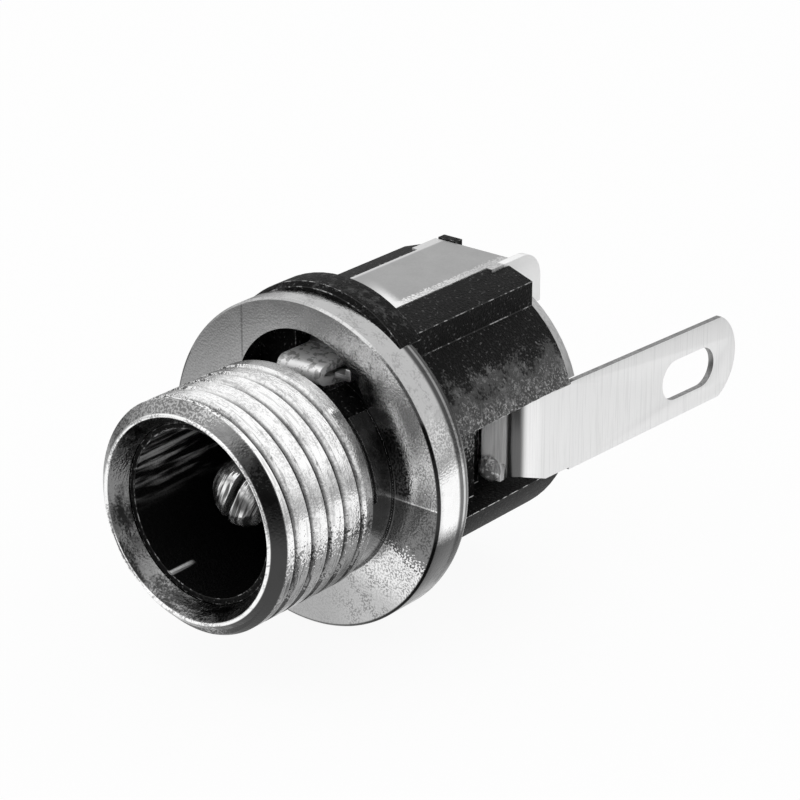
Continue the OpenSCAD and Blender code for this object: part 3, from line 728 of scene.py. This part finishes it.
def struck_metal():
    """Soft metal with the dents of the tool, bright where the tool slipped."""
    finish = Finish("struck_rivet")
    dents = finish.grain(0.25 * MM, 3.0, 0.6)
    return finish.set(colour=finish.grey(0.3 + 0.7 * dents.above(0.5, 0.62)), metallic=0.3, roughness=0.25,
                      normal=finish.bumped(dents, 0.15 * MM, 0.8))


rivet_finish = struck_metal()
sheet_piece("lug_rivet", "lug_rivet_head", rivet_finish, rivet_finish, 0.04 * MM)


# ---------------------------------------------------------------------------
# Stage: a pale floor under the flange, a white surround, soft lights and the
# camera that looks at the mouth from the front, right and above.


def light_path(finish, *rays):
    """1 on a ray of one of these kinds, otherwise 0."""
    outputs = finish.node("ShaderNodeLightPath").socket.node.outputs
    kinds = [Value(finish, outputs[f"Is {ray} Ray"]) for ray in rays]
    return sum(kinds[1:], kinds[0]).clamped()


def pool(x, y, middle, inner, outer):
    """1 inside a round patch of the floor, falling to 0 at its outer radius."""
    across, along = x - middle[0], y - middle[1]
    return 1 - ((across * across + along * along) ** 0.5).above(inner, outer)


# The floor glows where it is seen or mirrored; in the plate it is brightest in two pools
deselect()
bpy.ops.mesh.primitive_plane_add(size=3, location=(0, 0, cad_box[0][2] - 0.05 * MM))
floor = bpy.context.object
floor.name = "floor"
floor_finish = Finish("pale_floor")
floor_finish.set(colour=0.95, roughness=0.9, specular=0.1)
across, along, _ = floor_finish.axes()
mirrored = 0.3 + 0.7 * (pool(across, along, (0, -5 * MM), 8 * MM, 45 * MM)
                        + pool(across, along, (13 * MM, 23 * MM), 14 * MM, 40 * MM)).clamped()
direct = light_path(floor_finish, "Camera", "Transmission")
glossy = light_path(floor_finish, "Glossy")
glow = floor_finish.node("ShaderNodeEmission", {}, {
    "Color": floor_finish.grey(direct + glossy * mirrored), "Strength": 1.0})
mixed = floor_finish.node("ShaderNodeMixShader", {}, {
    0: direct * 0.93 + glossy * 0.95,
    1: Value(floor_finish, floor_finish.shader.outputs[0]),
    2: glow})
floor_finish.feed(floor_finish.tree.nodes["Material Output"].inputs["Surface"], mixed)
floor.data.materials.append(floor_finish.material)

world = bpy.data.worlds.new("surround")
bpy.context.scene.world = world
world.use_nodes = True


class Surround(Finish):
    def __init__(self, world):
        self.tree = world.node_tree


# White all round; the plate mirrors a dark card in front and a dark strip low down
sky = Surround(world)
way = sky.node("ShaderNodeSeparateXYZ", {}, {"Vector": sky.node("ShaderNodeTexCoord", output="Generated")})
way_x, way_y, way_z = [Value(sky, way.socket.node.outputs[i]) for i in range(3)]
card = (way_x * 0.58 - way_y * 0.717 + way_z * 0.386).above(0.8, 0.93)
strip = way_z.above(-0.1, 0.0) * (1 - way_z.above(0.12, 0.3))
mirrored = (1 - 0.9 * card) * (1 - 0.4 * strip)
direct = light_path(sky, "Camera", "Transmission")
glossy = light_path(sky, "Glossy")
sky.feed(world.node_tree.nodes["Background"].inputs["Strength"],
         direct + glossy * mirrored + (1 - direct - glossy).clamped() * 0.85)
world.node_tree.nodes["Background"].inputs["Color"].default_value = (1, 1, 1, 1)


def soft_light(name, place, target, size, watts):
    lamp = bpy.data.lights.new(name, "AREA")
    lamp.shape = "RECTANGLE"
    lamp.size, lamp.size_y = size
    lamp.energy = watts
    holder = bpy.data.objects.new(name, lamp)
    bpy.context.scene.collection.objects.link(holder)
    holder.location = place
    holder.rotation_euler = (Vector(target) - Vector(place)).to_track_quat("-Z", "Y").to_euler()


soft_light("key_light", (-0.02, -0.06, 0.11), (0, 0, 0), (0.08, 0.08), 0.012)

camera = bpy.data.objects.new("camera", bpy.data.cameras.new("camera"))
bpy.context.scene.collection.objects.link(camera)
camera.data.lens = 135
camera.data.sensor_width = 36
camera.data.clip_start = 0.001
camera.location = (59.143 * MM, -68.043 * MM, 39.997 * MM)
camera.rotation_euler = Vector((-0.580, 0.717, -0.386)).to_track_quat("-Z", "Y").to_euler()
bpy.context.scene.camera = camera
bpy.context.scene.view_settings.view_transform = "Standard"
